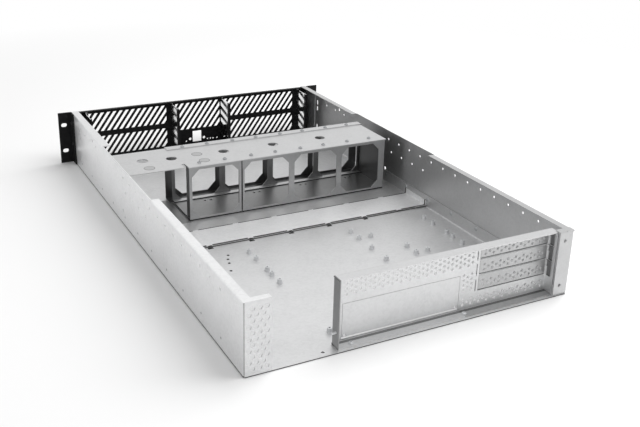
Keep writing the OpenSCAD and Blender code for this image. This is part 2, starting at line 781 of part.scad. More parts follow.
blank_lip = 1.6;
blank_play = 0.4;
blank_rise = 2;
blank_dimple_d = 3.4;
blank_dimple_inset = 4;

// Blank plate in the connector window: its lip lies on the inside of the panel
module connector_blank() {
  color(bright_zinc) in_case() difference() {
    union() {
      across(rear_recess, sheet_t)
        span(io_x0 + blank_play, io_z + blank_rise, io_x0 + io_w - blank_play, io_z + io_h - blank_play);
      across(rear_recess + sheet_t, cover_t)
        span(io_x0 - blank_lip, io_z + blank_rise, io_x0 + io_w + blank_lip, io_z + io_h + blank_lip);
    }
    for (x = [io_x0 + blank_dimple_inset, io_x0 + io_w - blank_dimple_inset])
      translate([x, rear_recess - cut, io_z + blank_dimple_inset]) rotate([-90, 0, 0])
        cylinder(h = 3 * sheet_t, d = blank_dimple_d, $fn = hole_fn);
  }
}

cover_tab_l = 5.5;
cover_end_play = 0.4;
cover_tail_l = 8;
cover_tail_share = 0.7;
cover_neck_share = 0.4;
cover_vent_drop = 1;

// Slot cover: vented plate in the window, a tail behind the panel and a tab along the end flange
module slot_cover(index) {
  z0 = slot_z + index * slot_pitch + (index == 0 ? cover_end_play : slot_gap);
  z1 = slot_z + (index + 1) * slot_pitch - (index == slot_count - 1 ? 2 * cover_end_play : 0);
  x0 = slot_x0 + cover_end_play;
  x1 = panel_x1 - sheet_t;
  face_x1 = slot_x1 - slot_gap;
  jog = x1 - face_x1 + cover_t;
  color(zinc) in_case() {
    across(rear_recess, cover_t) difference() {
      span(x0, z0, face_x1, z1);
      vent_field(x0 + band_margin, face_x1 - band_margin, (z0 + z1) / 2 - cover_vent_drop, 2,
        vent_pitch_x, vent_pitch_z, vent_hole_w);
    }
    translate([0, 0, z1 - (z1 - z0) * cover_neck_share]) linear_extrude((z1 - z0) * cover_neck_share)
      polygon([[face_x1 - cover_t, rear_recess], [face_x1, rear_recess], [x1 - cover_t, rear_recess - jog + cover_t],
        [x1 - cover_t, rear_recess - jog - cut], [x1, rear_recess - jog - cut], [x1, rear_recess - jog + 2 * cover_t],
        [face_x1 + cover_t / 2, rear_recess + cover_t], [face_x1 - cover_t, rear_recess + cover_t]]);
    across(rear_recess - jog - cover_tab_l, cover_tab_l) span(x1 - cover_t, z0, x1, z1);
    translate([0, 0, z0]) linear_extrude((z1 - z0) * cover_tail_share)
      polygon([[x0, rear_recess], [x0 + cover_t, rear_recess], [x0 + cover_t, rear_recess + sheet_t + cover_t],
        [x0 - cover_tail_l, rear_recess + sheet_t + cover_t], [x0 - cover_tail_l, rear_recess + sheet_t],
        [x0, rear_recess + sheet_t]]);
  }
}

module slot_cover_1() { slot_cover(2); }
module slot_cover_2() { slot_cover(1); }
module slot_cover_3() { slot_cover(0); }

// Fasteners

board_cols = [0, board_col_mid, board_col_last];
board_rows = [0, board_row_mid, board_row_last];
extra_row = 169.5;
extra_cols = [176.5, 205.2, 223.8];

module standoff(x, y) {
  translate([x, y, sheet_t]) difference() {
    cylinder(h = standoff_h, d = standoff_d, $fn = round_fn);
    translate([0, 0, standoff_h / 4]) cylinder(h = standoff_h, d = standoff_bore_d, $fn = hole_fn);
  }
}

module board_standoffs() {
  color(steel) in_case() {
    for (c = board_cols, r = board_rows)
      if (!(c == board_col_mid && r == board_row_mid)) standoff(board_x0 + c, board_back + r);
    for (c = board_cols) standoff(board_x0 + c, board_back + board_row_last - board_second_shift);
    for (c = board_cols) standoff(board_x0 + c, board_back + board_row_mid - board_second_shift);
    for (c = board_cols) standoff(board_x0 + c, board_back + extra_row);
    standoff(board_x0 + extra_cols[0], board_back + board_row_last - board_second_shift);
    standoff(board_x0 + extra_cols[1], board_back + board_row_mid);
    for (c = [extra_cols[1], extra_cols[2]]) standoff(board_x0 + c, board_back + board_row_mid - board_second_shift);
  }
}

module bridge_screws() {
  color(steel) in_case() {
    for (x = bridge_screw_xs) {
      translate([x, bridge_screw_ys[0], bridge_top_z]) screw();
      translate([x, bridge_screw_ys[1], bridge_top_z + sheet_t]) screw();
    }
  }
}

module ear_screws() {
  color(black) in_case() for (side = [0, 1], z = ear_screw_zs)
    translate([side * body_w, 0, 0]) mirror([side, 0, 0])
      translate([-ear_t, body_l - ear_leg_l + ear_screw_inset, z]) rotate([0, -90, 0]) screw();
}

module wall_rivets() {
  color(steel) in_case() for (side = [0, 1], y = rivet_ys)
    translate([side * body_w, y, rivet_z]) mirror([side, 0, 0]) rotate([0, 90, 0]) rivet(2 * sheet_t);
}

// Two screws down into the floor and one that stands out beside the power supply bay
module rear_panel_screws() {
  color(steel) in_case() {
    for (x = floor_screw_xs) translate([x, floor_screw_back, 2 * sheet_t]) screw(2 * sheet_t);
    translate([panel_x0 + sheet_t, side_hole_back, side_hole_z]) rotate([0, 90, 0]) screw(side_screw_l);
  }
}
side_screw_l = 7.5;

base_tray();
right_side_wall();
left_side_wall();
step_plate();
front_panel();
front_port_bracket();
bay_plate_1();
bay_plate_2();
bay_plate_3();
bay_plate_4();
right_rack_ear();
left_rack_ear();
right_ear_backing();
left_ear_backing();
fan_partition();
fan_bridge();
single_fan_cage();
triple_fan_cage();
rear_panel();
connector_blank();
slot_cover_1();
slot_cover_2();
slot_cover_3();
board_standoffs();
bridge_screws();
rear_panel_screws();
ear_screws();
wall_rivets();
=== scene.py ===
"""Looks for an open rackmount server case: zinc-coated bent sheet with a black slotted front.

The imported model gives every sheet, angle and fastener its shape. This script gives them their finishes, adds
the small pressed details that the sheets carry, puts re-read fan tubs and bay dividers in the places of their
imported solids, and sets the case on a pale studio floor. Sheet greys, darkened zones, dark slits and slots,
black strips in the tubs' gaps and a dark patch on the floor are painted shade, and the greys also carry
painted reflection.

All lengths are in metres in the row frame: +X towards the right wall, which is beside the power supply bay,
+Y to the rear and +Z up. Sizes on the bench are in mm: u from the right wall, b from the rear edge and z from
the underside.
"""

import logging
import math
from dataclasses import dataclass, field
from enum import Enum, IntEnum

import bpy
import numpy as np
from bpy.types import Material, Node, Object, World
from bpy.types import NodeSocket as Socket
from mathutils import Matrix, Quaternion, Vector
from numpy.typing import NDArray


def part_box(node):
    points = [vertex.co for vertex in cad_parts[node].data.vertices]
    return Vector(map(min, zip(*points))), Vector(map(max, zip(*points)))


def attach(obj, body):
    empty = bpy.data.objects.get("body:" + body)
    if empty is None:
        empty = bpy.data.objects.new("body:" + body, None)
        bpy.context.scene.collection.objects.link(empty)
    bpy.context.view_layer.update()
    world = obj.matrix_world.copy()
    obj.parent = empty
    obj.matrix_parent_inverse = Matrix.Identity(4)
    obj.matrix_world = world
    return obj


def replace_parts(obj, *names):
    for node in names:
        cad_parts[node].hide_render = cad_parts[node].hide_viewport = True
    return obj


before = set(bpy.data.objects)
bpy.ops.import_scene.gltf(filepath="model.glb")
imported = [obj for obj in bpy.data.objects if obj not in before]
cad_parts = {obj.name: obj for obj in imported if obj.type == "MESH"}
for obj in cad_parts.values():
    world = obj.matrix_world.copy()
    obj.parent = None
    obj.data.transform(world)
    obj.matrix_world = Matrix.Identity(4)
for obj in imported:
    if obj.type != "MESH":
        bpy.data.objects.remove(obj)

LOG = logging.getLogger("case_looks")
MM = 0.001
WIDTH = 0.438
LENGTH = 0.725
FAR = 1.0  # a limit that lies beyond the case
HOOK_X = 0.1974  # the first of the step plate's hooks
HOOK_PITCH = 0.061
NOISE_RANGE = (0.3, 0.7)  # most values of a fractal noise lie between these
BODY = "root"
ZINC_SLOT = "galvanised_sheet"
BLACK_SLOT = "black_coat"

Array = NDArray[np.float64]
Faces = NDArray[np.int64]
Span = tuple[float, float]
Triple = tuple[float, float, float]


class Rolling(Enum):
    """The way the mill's rolling lines run in a sheet, as stretches along X, Y and Z."""

    ALONG_X = (0.04, 1.0, 1.0)
    ALONG_Y = (1.0, 0.04, 1.0)
    ALONG_Z = (1.0, 1.0, 0.04)


@dataclass(frozen=True)
class Grain:
    """A fractal noise: its cells per metre, its octaves and their roughness."""

    cells: float
    octaves: float
    rough: float


# Materials


class NodeWeb:
    """A shader node tree that is built by short calls."""

    def __init__(self, owner: Material | World) -> None:
        """Starts an empty tree.

        Args:
            owner: The material or world that it is for.
        """
        owner.use_nodes = True
        self.owner = owner
        self.tree = owner.node_tree
        self.tree.nodes.clear()

    def add(self, kind: str, settings: dict[str, object] | None = None, **inputs: object) -> Node:
        """Adds a node.

        Args:
            kind: The node's type name.
            settings: Attributes to set on the node.
            **inputs: Socket values or output sockets to link, with spaces in names written as underscores.

        Returns:
            The new node.
        """
        node = self.tree.nodes.new(kind)
        for key, value in (settings or {}).items():
            setattr(node, key, value)
        for key, value in inputs.items():
            self.feed(node.inputs[key.replace("_", " ")], value)
        return node

    def feed(self, socket: Socket, value: object) -> None:
        """Links an output socket to an input, or sets the input's own value.

        Args:
            socket: The input.
            value: The output socket to link, or the value to set.
        """
        if isinstance(value, Socket):
            self.tree.links.new(value, socket)
        else:
            socket.default_value = value

    def place(self, scale: Triple = (1.0, 1.0, 1.0)) -> Socket:
        """Gives Object coordinates, stretched by a factor along each axis."""
        coordinates = self.add("ShaderNodeTexCoord").outputs["Object"]
        return self.add("ShaderNodeMapping", Vector=coordinates, Scale=scale).outputs["Vector"]

    def axes(self) -> dict[str, Socket]:
        """Gives the point's X, Y and Z in the row frame."""
        apart = self.add("ShaderNodeSeparateXYZ", Vector=self.place())
        return {axis: apart.outputs[axis] for axis in "XYZ"}

    def noise(self, vector: Socket, grain: Grain) -> Socket:
        """Gives the value of a fractal noise.

        Args:
            vector: The point.
            grain: The kind of noise.

        Returns:
            The value.
        """
        node = self.add("ShaderNodeTexNoise", Vector=vector, Scale=grain.cells, Detail=grain.octaves,
                        Roughness=grain.rough)
        return node.outputs["Fac"]

    def spread(self, value: Socket, low: float, high: float, limits: Span = NOISE_RANGE) -> Socket:
        """Maps a value between two limits to a new range, clamped.

        Args:
            value: The value.
            low: What the first limit becomes.
            high: What the last limit becomes.
            limits: The first and the last limit.

        Returns:
            The mapped value.
        """
        first, last = limits
        node = self.add("ShaderNodeMapRange", Value=value)
        for key, number in (("From Min", first), ("From Max", last), ("To Min", low), ("To Max", high)):
            node.inputs[key].default_value = number
        return node.outputs["Result"]

    def calc(self, kind: str, first: object, second: object = 0.0) -> Socket:
        """Joins two values by an operation.

        Args:
            kind: The operation's name.
            first: The first value or socket.
            second: The second one, unused where the operation takes one value.

        Returns:
            The result.
        """
        node = self.add("ShaderNodeMath", {"operation": kind})
        self.feed(node.inputs[0], first)
        self.feed(node.inputs[1], second)
        return node.outputs[0]

    def near(self, value: Socket, centre: float, reach: float) -> Socket:
        """Gives 1 where a value lies within a reach of a centre, and 0 elsewhere."""
        gap = self.calc("ABSOLUTE", self.calc("SUBTRACT", value, centre))
        return self.calc("LESS_THAN", gap, reach)

    def off_row(self, value: Socket, first: float, pitch: float) -> Socket:
        """Gives how far a value is from the nearest place of an even row, as a share of its pitch."""
        step = self.calc("DIVIDE", self.calc("SUBTRACT", value, first), pitch)
        return self.calc("ABSOLUTE", self.calc("SUBTRACT", step, self.calc("ROUND", step)))

    def scaled(self, colour: Socket, keep: Socket) -> Socket:
        """Scales a colour by a value.

        Args:
            colour: The colour.
            keep: The share of it that stays.

        Returns:
            The scaled colour.
        """
        scale = self.add("ShaderNodeVectorMath", {"operation": "SCALE"}, Scale=keep)
        self.feed(scale.inputs[0], colour)
        return scale.outputs[0]

    def tones(self, value: Socket, stops: tuple[tuple[float, Triple], ...]) -> Socket:
        """Turns a value into a colour along a ramp.

        Args:
            value: The value.
            stops: (place, colour) in rising order.

        Returns:
            The colour.
        """
        node = self.add("ShaderNodeValToRGB", Fac=value)
        ramp = node.color_ramp
        while len(ramp.elements) < len(stops):
            ramp.elements.new(1.0)
        for element, (place, colour) in zip(ramp.elements, stops):
            element.position = place
            element.color = (*colour, 1.0)
        return node.outputs["Color"]

    def shaded(self, value: Socket, colour: Triple, shades: tuple[Span, ...]) -> Socket:
        """Turns a value into shades of one colour, given as (place, factor) in rising order."""
        return self.tones(value, tuple((at, tuple(part * shade for part in colour)) for at, shade in shades))

    def relief(self, layers: tuple[tuple[Socket, Span], ...]) -> Socket:
        """Stacks bump layers.

        Args:
            layers: The height of each, with its strength and its depth in metres.

        Returns:
            The normal.
        """
        normal = None
        for height, (strength, depth) in layers:
            node = self.add("ShaderNodeBump", Height=height, Strength=strength, Distance=depth)
            if normal:
                self.feed(node.inputs["Normal"], normal)
            normal = node.outputs["Normal"]
        return normal

    def finish(self, **inputs: object) -> Material:
        """Closes the tree with a Principled shader.

        Args:
            **inputs: The shader's inputs, with spaces in names written as underscores.

        Returns:
            The material.
        """
        shader = self.add("ShaderNodeBsdfPrincipled", **inputs)
        self.add("ShaderNodeOutputMaterial", Surface=shader.outputs["BSDF"])
        return self.owner


@dataclass(frozen=True)
class ZincSheet:
    """Zinc-coated steel sheet: pale, satin, with fine rolling lines, faint mottling and handling smudges.

    A bump is a strength and a depth in metres.
    """

    name: str
    rolling: Rolling
    tone: float
    rough: float
    metallic: float = 0.88
    wave: float = 0.10
    wave_depth: float = 4 * MM
    mottle_grain: Grain = Grain(26.0, 4.0, 0.6)
    smudge_grain: Grain = Grain(7.0, 3.0, 0.55)
    line_grain: Grain = Grain(900.0, 3.0, 0.55)
    line_bump: Span = (0.10, 0.2 * MM)
    spangle_cells: float = 340.0
    spangle_share: float = 0.3
    spangle_bump: Span = (0.05, 0.1 * MM)
    tint: Triple = (1.0, 1.004, 1.01)
    shades: tuple[Span, ...] = ((0.25, 0.94), (0.5, 1.0), (0.78, 1.04))
    rough_swing: Span = (-0.05, 0.07)
    line_swing: float = 0.03

    def painted_shade(self, web: NodeWeb, colour: Socket) -> Socket:
        """Gives the colour with any painted shade; plain sheet has none."""
        return colour

    def build(self) -> Material:
        """Makes the material.

        Returns:
            The material.
        """
        web = NodeWeb(bpy.data.materials.new(self.name))
        even = web.place()
        mottle = web.noise(even, self.mottle_grain)
        smudge = web.noise(even, self.smudge_grain)
        lines = web.noise(web.place(self.rolling.value), self.line_grain)
        spangle = web.add("ShaderNodeTexVoronoi", Vector=even, Scale=self.spangle_cells)
        cells = web.add("ShaderNodeSeparateColor", Color=spangle.outputs["Color"]).outputs[0]
        mix = web.calc("ADD", web.calc("MULTIPLY", mottle, 1.0 - self.spangle_share),
                       web.calc("MULTIPLY", cells, self.spangle_share))
        colour = self.painted_shade(web, web.shaded(mix, tuple(self.tone * part for part in self.tint), self.shades))
        low, high = self.rough_swing
        base = web.spread(smudge, self.rough + low, self.rough + high)
        fine = web.spread(lines, -self.line_swing, self.line_swing)
        roughness = web.calc("ADD", base, fine)
        wave_bump = (self.wave, self.wave_depth)
        normal = web.relief(((smudge, wave_bump), (lines, self.line_bump), (cells, self.spangle_bump)))
        return web.finish(Base_Color=colour, Metallic=self.metallic, Roughness=roughness, Normal=normal)


@dataclass(frozen=True)
class Zone:
    """A box in the row frame in which painted shade darkens a sheet by a share of its own tone."""

    shade_share: float
    x: Span = (-FAR, FAR)
    y: Span = (-FAR, FAR)
    z: Span = (-FAR, FAR)

    def inside(self, web: NodeWeb, at: dict[str, Socket]) -> object:
        """Gives the share of painted shade inside the box and 0 outside it.

        Args:
            web: The node tree.
            at: The point's X, Y and Z.

        Returns:
            The value or its socket.
        """
        value: object = self.shade_share
        for axis, (low, high) in zip("XYZ", (self.x, self.y, self.z)):
            if low > -FAR:
                value = web.calc("MULTIPLY", value, web.calc("GREATER_THAN", at[axis], low))
            if high < FAR:
                value = web.calc("MULTIPLY", value, web.calc("LESS_THAN", at[axis], high))
        return value


@dataclass(frozen=True)
class ZonedZinc(ZincSheet):
    """Zinc sheet that is darker with painted shade inside some zones."""

    zones: tuple[Zone, ...] = ()

    def painted_shade(self, web: NodeWeb, colour: Socket) -> Socket:
        """Scales the colour by 1 less the painted shade of each zone that the point lies in.

        Args:
            web: The node tree.
            colour: The sheet's own colour.

        Returns:
            The dulled colour.
        """
        at = web.axes()
        keep: object = 1.0
        # painted shade: each zone darkens the colour by place
        for zone in self.zones:
            keep = web.calc("MULTIPLY", keep, web.calc("SUBTRACT", 1.0, zone.inside(web, at)))
        return web.scaled(colour, keep)


@dataclass(frozen=True)
class HookSlotZinc(ZonedZinc):
    """The floor's zinc sheet, with the slots of the step plate's hooks drawn as dark painted shade."""

    last_x: float = -0.12
    row_y: float = 0.0572
    half_x: float = 0.0038
    half_y: float = 0.0023
    darkness: float = 0.95

    def painted_shade(self, web: NodeWeb, colour: Socket) -> Socket:
        """Paints shade into the slots, which reach half_x along X and half_y along Y from the hooks' places.

        Args:
            web: The node tree.
            colour: The sheet's own colour.

        Returns:
            The darkened colour.
        """
        at = web.axes()
        off = web.off_row(at["X"], HOOK_X, HOOK_PITCH)
        across = web.calc("LESS_THAN", off, self.half_x / HOOK_PITCH)
        short = web.calc("GREATER_THAN", at["X"], self.last_x)
        along = web.calc("MULTIPLY", web.near(at["Y"], self.row_y, self.half_y), short)
        # painted shade: the slots are dark marks in the colour, not holes
        slot = web.calc("MULTIPLY", web.calc("MULTIPLY", across, along), self.darkness)
        return web.scaled(super().painted_shade(web, colour), web.calc("SUBTRACT", 1.0, slot))


@dataclass(frozen=True)
class SlitFoldZinc(ZincSheet):
    """The step plate's zinc sheet: dark painted shade draws the dashed slits of its two long folds and the
    crease at its foot.
    """

    slit_ys: Span = (0.052, -0.002)
    slit_half: float = 0.0014
    bridge_half: float = 0.0042
    foot_z: float = 0.0024
    riser_top_z: float = 0.0035
    riser_shade: float = 0.68
    mouth_half: float = 0.0028
    darkness: float = 0.93

    def painted_shade(self, web: NodeWeb, colour: Socket) -> Socket:
        """Paints shade into the slits, the foot and the risers.

        A point is in a slit when it lies within slit_half of a line just inside a fold and, along X, over
        bridge_half from the nearest hook's middle. It is in the foot when it lies below foot_z. A riser, up
        to riser_top_z, is darkened by riser_shade, and wholly within mouth_half of a hook's middle.

        Args:
            web: The node tree.
            colour: The sheet's own colour.

        Returns:
            The darkened colour.
        """
        at = web.axes()
        off = web.off_row(at["X"], HOOK_X, HOOK_PITCH)
        cut = web.calc("GREATER_THAN", off, self.bridge_half / HOOK_PITCH)
        lines = (web.near(at["Y"], y, self.slit_half) for y in self.slit_ys)
        slit = web.calc("MULTIPLY", web.calc("MAXIMUM", *lines), cut)
        foot = web.calc("LESS_THAN", at["Z"], self.foot_z)
        low = web.calc("LESS_THAN", at["Z"], self.riser_top_z)
        mouth = web.calc("LESS_THAN", off, self.mouth_half / HOOK_PITCH)
        riser = web.calc("MULTIPLY", low, web.calc("MAXIMUM", mouth, self.riser_shade))
        # painted shade: slits, foot crease and risers darkened in the colour
        mask = web.calc("MAXIMUM", web.calc("MAXIMUM", slit, foot), riser)
        dark = web.calc("MULTIPLY", mask, self.darkness)
        return web.scaled(colour, web.calc("SUBTRACT", 1.0, dark))


@dataclass(frozen=True)
class PowderCoat:
    """Matt black powder coat: a fine pebbled skin with a little dust lying on it."""

    name: str
    clean: Triple = (0.005, 0.005, 0.00525)
    dusty: Triple = (0.009, 0.009, 0.0095)
    rough: float = 0.5
    rough_swing: Span = (-0.05, 0.08)
    gloss: float = 0.14
    pebble_grain: Grain = Grain(1500.0, 2.0, 0.5)
    pebble_bump: Span = (0.25, 0.2 * MM)
    cloud_grain: Grain = Grain(18.0, 3.0, 0.6)

    def build(self) -> Material:
        """Makes the material.

        Returns:
            The material.
        """
        web = NodeWeb(bpy.data.materials.new(self.name))
        even = web.place()
        pebble = web.noise(even, self.pebble_grain)
        cloud = web.noise(even, self.cloud_grain)
        colour = web.tones(cloud, tuple(zip(NOISE_RANGE, (self.clean, self.dusty))))
        low, high = self.rough_swing
        roughness = web.spread(cloud, self.rough + low, self.rough + high)
        normal = web.relief(((pebble, self.pebble_bump),))
        return web.finish(Base_Color=colour, Metallic=0.0, Roughness=roughness, Normal=normal,
                          Specular_IOR_Level=self.gloss)


@dataclass(frozen=True)
class TurnedMetal:
    """Steel of screws, rivets and press-in supports, with tiny tool marks."""

    name: str
    colour: Triple
    metallic: float
    rough: float
    rough_swing: Span = (-0.06, 0.1)
    shades: tuple[Span, ...] = ((0.3, 0.9), (0.7, 1.05))
    mark_grain: Grain = Grain(2600.0, 3.0, 0.6)
    mark_bump: Span = (0.2, 0.1 * MM)
    patch_grain: Grain = Grain(160.0, 2.0, 0.5)

    def build(self) -> Material:
        """Makes the material.

        Returns:
            The material.
        """
        web = NodeWeb(bpy.data.materials.new(self.name))
        even = web.place()
        marks = web.noise(even, self.mark_grain)
        patch = web.noise(even, self.patch_grain)
        colour = web.shaded(patch, self.colour, self.shades)
        low, high = self.rough_swing
        roughness = web.spread(patch, self.rough + low, self.rough + high)
        normal = web.relief(((marks, self.mark_bump),))
        return web.finish(Base_Color=colour, Metallic=self.metallic, Roughness=roughness, Normal=normal)


# Meshes


@dataclass
class Skin:
    """Vertices and faces of one piece, gathered from several parts."""

    points: list[Array] = field(default_factory=list)
    quads: list[Faces] = field(default_factory=list)
    finish_index: list[Faces] = field(default_factory=list)
    count: int = 0
    crease: float = math.radians(38)

    def add(self, points: Array, quads: Faces, finish: int = 0) -> None:
        """Adds one closed part, with its faces turned outward.

        The sum over its triangles of p0 . (p1 x p2) / 6 is its volume, which is negative where they face in.

        Args:
            points: Its vertices.
            quads: Its four-cornered faces.
            finish: The number of its finish among the piece's materials.
        """
        p = points - points.mean(0)
        a, b, c, d = (p[quads[:, k]] for k in range(4))
        volume = np.einsum("ij,ij->", a, np.cross(b, c)) + np.einsum("ij,ij->", a, np.cross(c, d))
        if volume < 0:
            quads = quads[:, ::-1]
        self.points.append(points)
        self.quads.append(quads + self.count)
        self.finish_index.append(np.full(len(quads), finish))
        self.count += len(points)

    def build(self, name: str, finishes: Material | tuple[Material, ...], slot: str) -> Object:
        """Makes the object, shaded smooth by angle, riding on the case.

        Args:
            name: The piece's name.
            finishes: Its finish, or its finishes in the order of their numbers.
            slot: The record's material slot, which is not used.

        Returns:
            The new object.
        """
        mesh = bpy.data.meshes.new(name)
        mesh.from_pydata(np.concatenate(self.points).tolist(), [], np.concatenate(self.quads).tolist())
        for material in finishes if isinstance(finishes, tuple) else (finishes,):
            mesh.materials.append(material)
        mesh.polygons.foreach_set("material_index", np.concatenate(self.finish_index).astype(np.int32))
        mesh.update()
        mesh.shade_smooth()
        mesh.set_sharp_from_angle(angle=self.crease)
        piece = bpy.data.objects.new(name, mesh)
        bpy.context.scene.collection.objects.link(piece)
        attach(piece, BODY)
        LOG.info("%s: %d faces", name, len(mesh.polygons))
        return piece


def grid_faces(rows: int, columns: int, close_rows: bool, close_columns: bool) -> Faces:
    """Faces of a rows by columns grid of points numbered row by row.

    Face (i, j) joins points (i, j), (i, j+1), (i+1, j+1), (i+1, j), and an index wraps where a side closes.

    Args:
        rows: Rows of points.
        columns: Points in a row.
        close_rows: Whether the last row joins the first.
        close_columns: Whether each row's last point joins its first.

    Returns:
        The faces.
    """
    i = np.arange(rows if close_rows else rows - 1)
    j = np.arange(columns if close_columns else columns - 1)
    a, b = np.meshgrid(i, j, indexing="ij")
    a2, b2 = (a + 1) % rows, (b + 1) % columns
    corners = np.stack([a * columns + b, a * columns + b2, a2 * columns + b2, a2 * columns + b], axis=-1)
    return corners.reshape(-1, 4)


def turned_ring(profile: Array, steps: int = 28) -> tuple[Array, Faces]:
    """A closed ring about Z: each (radius, height) of the closed profile is turned through a full circle.

    Point (i, j) is (r_j cos a_i, r_j sin a_i, h_j) with a_i = 2 pi i / steps.

    Args:
        profile: Radii and heights.
        steps: Steps round the circle.

    Returns:
        The points and the faces.
    """
    angle = 2 * math.pi * np.arange(steps) / steps
    r, h = profile[:, 0], profile[:, 1]
    x = np.outer(np.cos(angle), r)
    y = np.outer(np.sin(angle), r)
    z = np.broadcast_to(h, x.shape)
    points = np.stack([x, y, z], axis=-1).reshape(-1, 3)
    return points, grid_faces(steps, len(profile), True, True)


def from_bench(sections: Array) -> Array:
    """Turns bench points (u, b, z) in mm into one list of row-frame points in metres."""
    u, b, z = sections.reshape(-1, 3).T
    return np.stack([WIDTH / 2 - u * MM, LENGTH / 2 - b * MM, z * MM], axis=1)


def lofted(sections: Array) -> tuple[Array, Faces]:
    """A closed skin over n four-cornered sections on the bench.

    Point (i, j) is corner j of section i. Side faces join neighbouring sections, and both ends are closed.

    Args:
        sections: An n by 4 by 3 array of (u, b, z).

    Returns:
        The points in the row frame, and the faces.
    """
    last = 4 * (len(sections) - 1)
    sides = grid_faces(len(sections), 4, False, True)
    ends = np.array([[3, 2, 1, 0], [last, last + 1, last + 2, last + 3]])
    return from_bench(sections), np.concatenate([sides[:, ::-1], ends])


def slab(u: Span, b: Span, z: Span) -> tuple[Array, Faces]:
    """A flat plate between two limits on each bench axis, as two sections from its foot to its top."""
    return upright(b, ((z[0], *u), (z[1], *u)))


def upright(b: Span, levels: tuple[Triple, ...]) -> tuple[Array, Faces]:
    """A standing strip of sheet whose left and right edges are given at rising heights on the bench.

    Args:
        b: Its faces' distances from the rear edge.
        levels: (height, left u, right u), rising.

    Returns:
        The points and the faces.
    """
    z, left, right = np.array(levels).T
    corners = [(left, b[0]), (right, b[0]), (right, b[1]), (left, b[1])]
    edges = [np.stack([u, np.full_like(u, depth), z], axis=1) for u, depth in corners]
    return lofted(np.stack(edges, axis=1))


def pierced_square(u: float, b: float, half: float, radius: float, z: Span,
                   steps: int = 16) -> tuple[Array, Faces]:
    """A square of sheet with a round hole in its middle, on the bench.

    From the middle, point i of the outer loop is half / max(|cos a_i|, |sin a_i|) away and that of the inner
    loop is radius away, with a_i = 2 pi i / steps.

    Args:
        u: Middle, from the right wall.
        b: Middle, from the rear edge.
        half: Half the square's side.
        radius: Radius of the hole.
        z: Heights of the two faces.
        steps: Points round the hole, a multiple of eight so that the corners are among them.

    Returns:
        The points in the row frame, and the faces.
    """
    angle = 2 * math.pi * np.arange(steps) / steps
    c, s = np.cos(angle), np.sin(angle)
    outer, inner = half / np.maximum(np.abs(c), np.abs(s)), np.full(steps, radius)
    loops = [(outer, z[0]), (outer, z[1]), (inner, z[1]), (inner, z[0])]
    grid = np.stack([np.stack([u + r * c, b + r * s, np.full(steps, h)], axis=1) for r, h in loops], axis=1)
    return from_bench(grid), grid_faces(steps, 4, True, True)


# The case's own sub-assemblies


@dataclass(frozen=True)
class SheetTones:
    """The grey of each sheet's coat, which stands in for what the sheet reflects in the photograph: each grey
    carries painted reflection, and some carry painted shade.
    """

    right_wall: float = 0.84
    # painted shade: the left wall's inside face is darker than the right wall
    left_wall: float = 0.52
    floor: float = 0.71
    step: float = 0.86
    partition: float = 0.56
    bridge: float = 0.57
    rear: float = 0.69
    covers: float = 0.50
    backing: float = 0.60
    collars: float = 0.60
    knock_out: float = 0.44
    divider: float = 0.76
    # painted shade: the fan tubs under the bridge are darker, their insides and ends most
    tub_frame: float = 0.42
    tub_inside: float = 0.21
    tub_floor: float = 0.31
    tub_ends: float = 0.09


@dataclass
class WallZones:
    """Zones of painted shade on the side walls: foot, rear return, its bend and the front half of the top
    flange.
    """

    # painted shade: foot, rear return, bend line and top flange darkened by place
    foot: Zone = Zone(0.85, z=(-FAR, 0.0013))
    return_y: float = 0.3612
    bend_line: float = 0.0011
    bend_shade: float = 0.45
    return_shade: float = 0.17
    flange: Zone = Zone(0.12, y=(-FAR, -0.03), z=(0.0872, FAR))

    def right(self) -> tuple[Zone, ...]:
        """Gives the zones of the wall beside the power supply bay.

        Returns:
            The foot, the rear return, its bend and the top flange.
        """
        bend, rear = (WIDTH / 2 - self.bend_line, FAR), (self.return_y, FAR)
        dull_return, dull_bend = Zone(self.return_shade, y=rear), Zone(self.bend_shade, x=bend, y=rear)
        return self.foot, dull_return, dull_bend, self.flange

    def left(self) -> tuple[Zone, ...]:
        """Gives the zones of the wall beside the slots."""
        bend = (-FAR, self.bend_line - WIDTH / 2)
        return self.foot, Zone(self.bend_shade, x=bend, y=(self.return_y, FAR))


@dataclass
class FloorZones:
    """Zones of painted shade on the floor: edge, upturned flange, and the parts beside the fan wall."""

    edge: Zone = Zone(0.85, z=(-FAR, 0.0010))
    flange: Zone = Zone(0.24, z=(0.003, FAR))
    flange_top: Zone = Zone(0.15, z=(0.0196, FAR))
    under_wing: Zone = Zone(0.5, (0.1296, FAR), (-0.13, -0.036), (-FAR, 0.002))
    by_the_tubs: Zone = Zone(0.13, y=(-0.13, 0.0), z=(-FAR, 0.002))

    def every(self) -> tuple[Zone, ...]:
        """Gives every zone of the floor."""
        return self.edge, self.flange, self.flange_top, self.under_wing, self.by_the_tubs


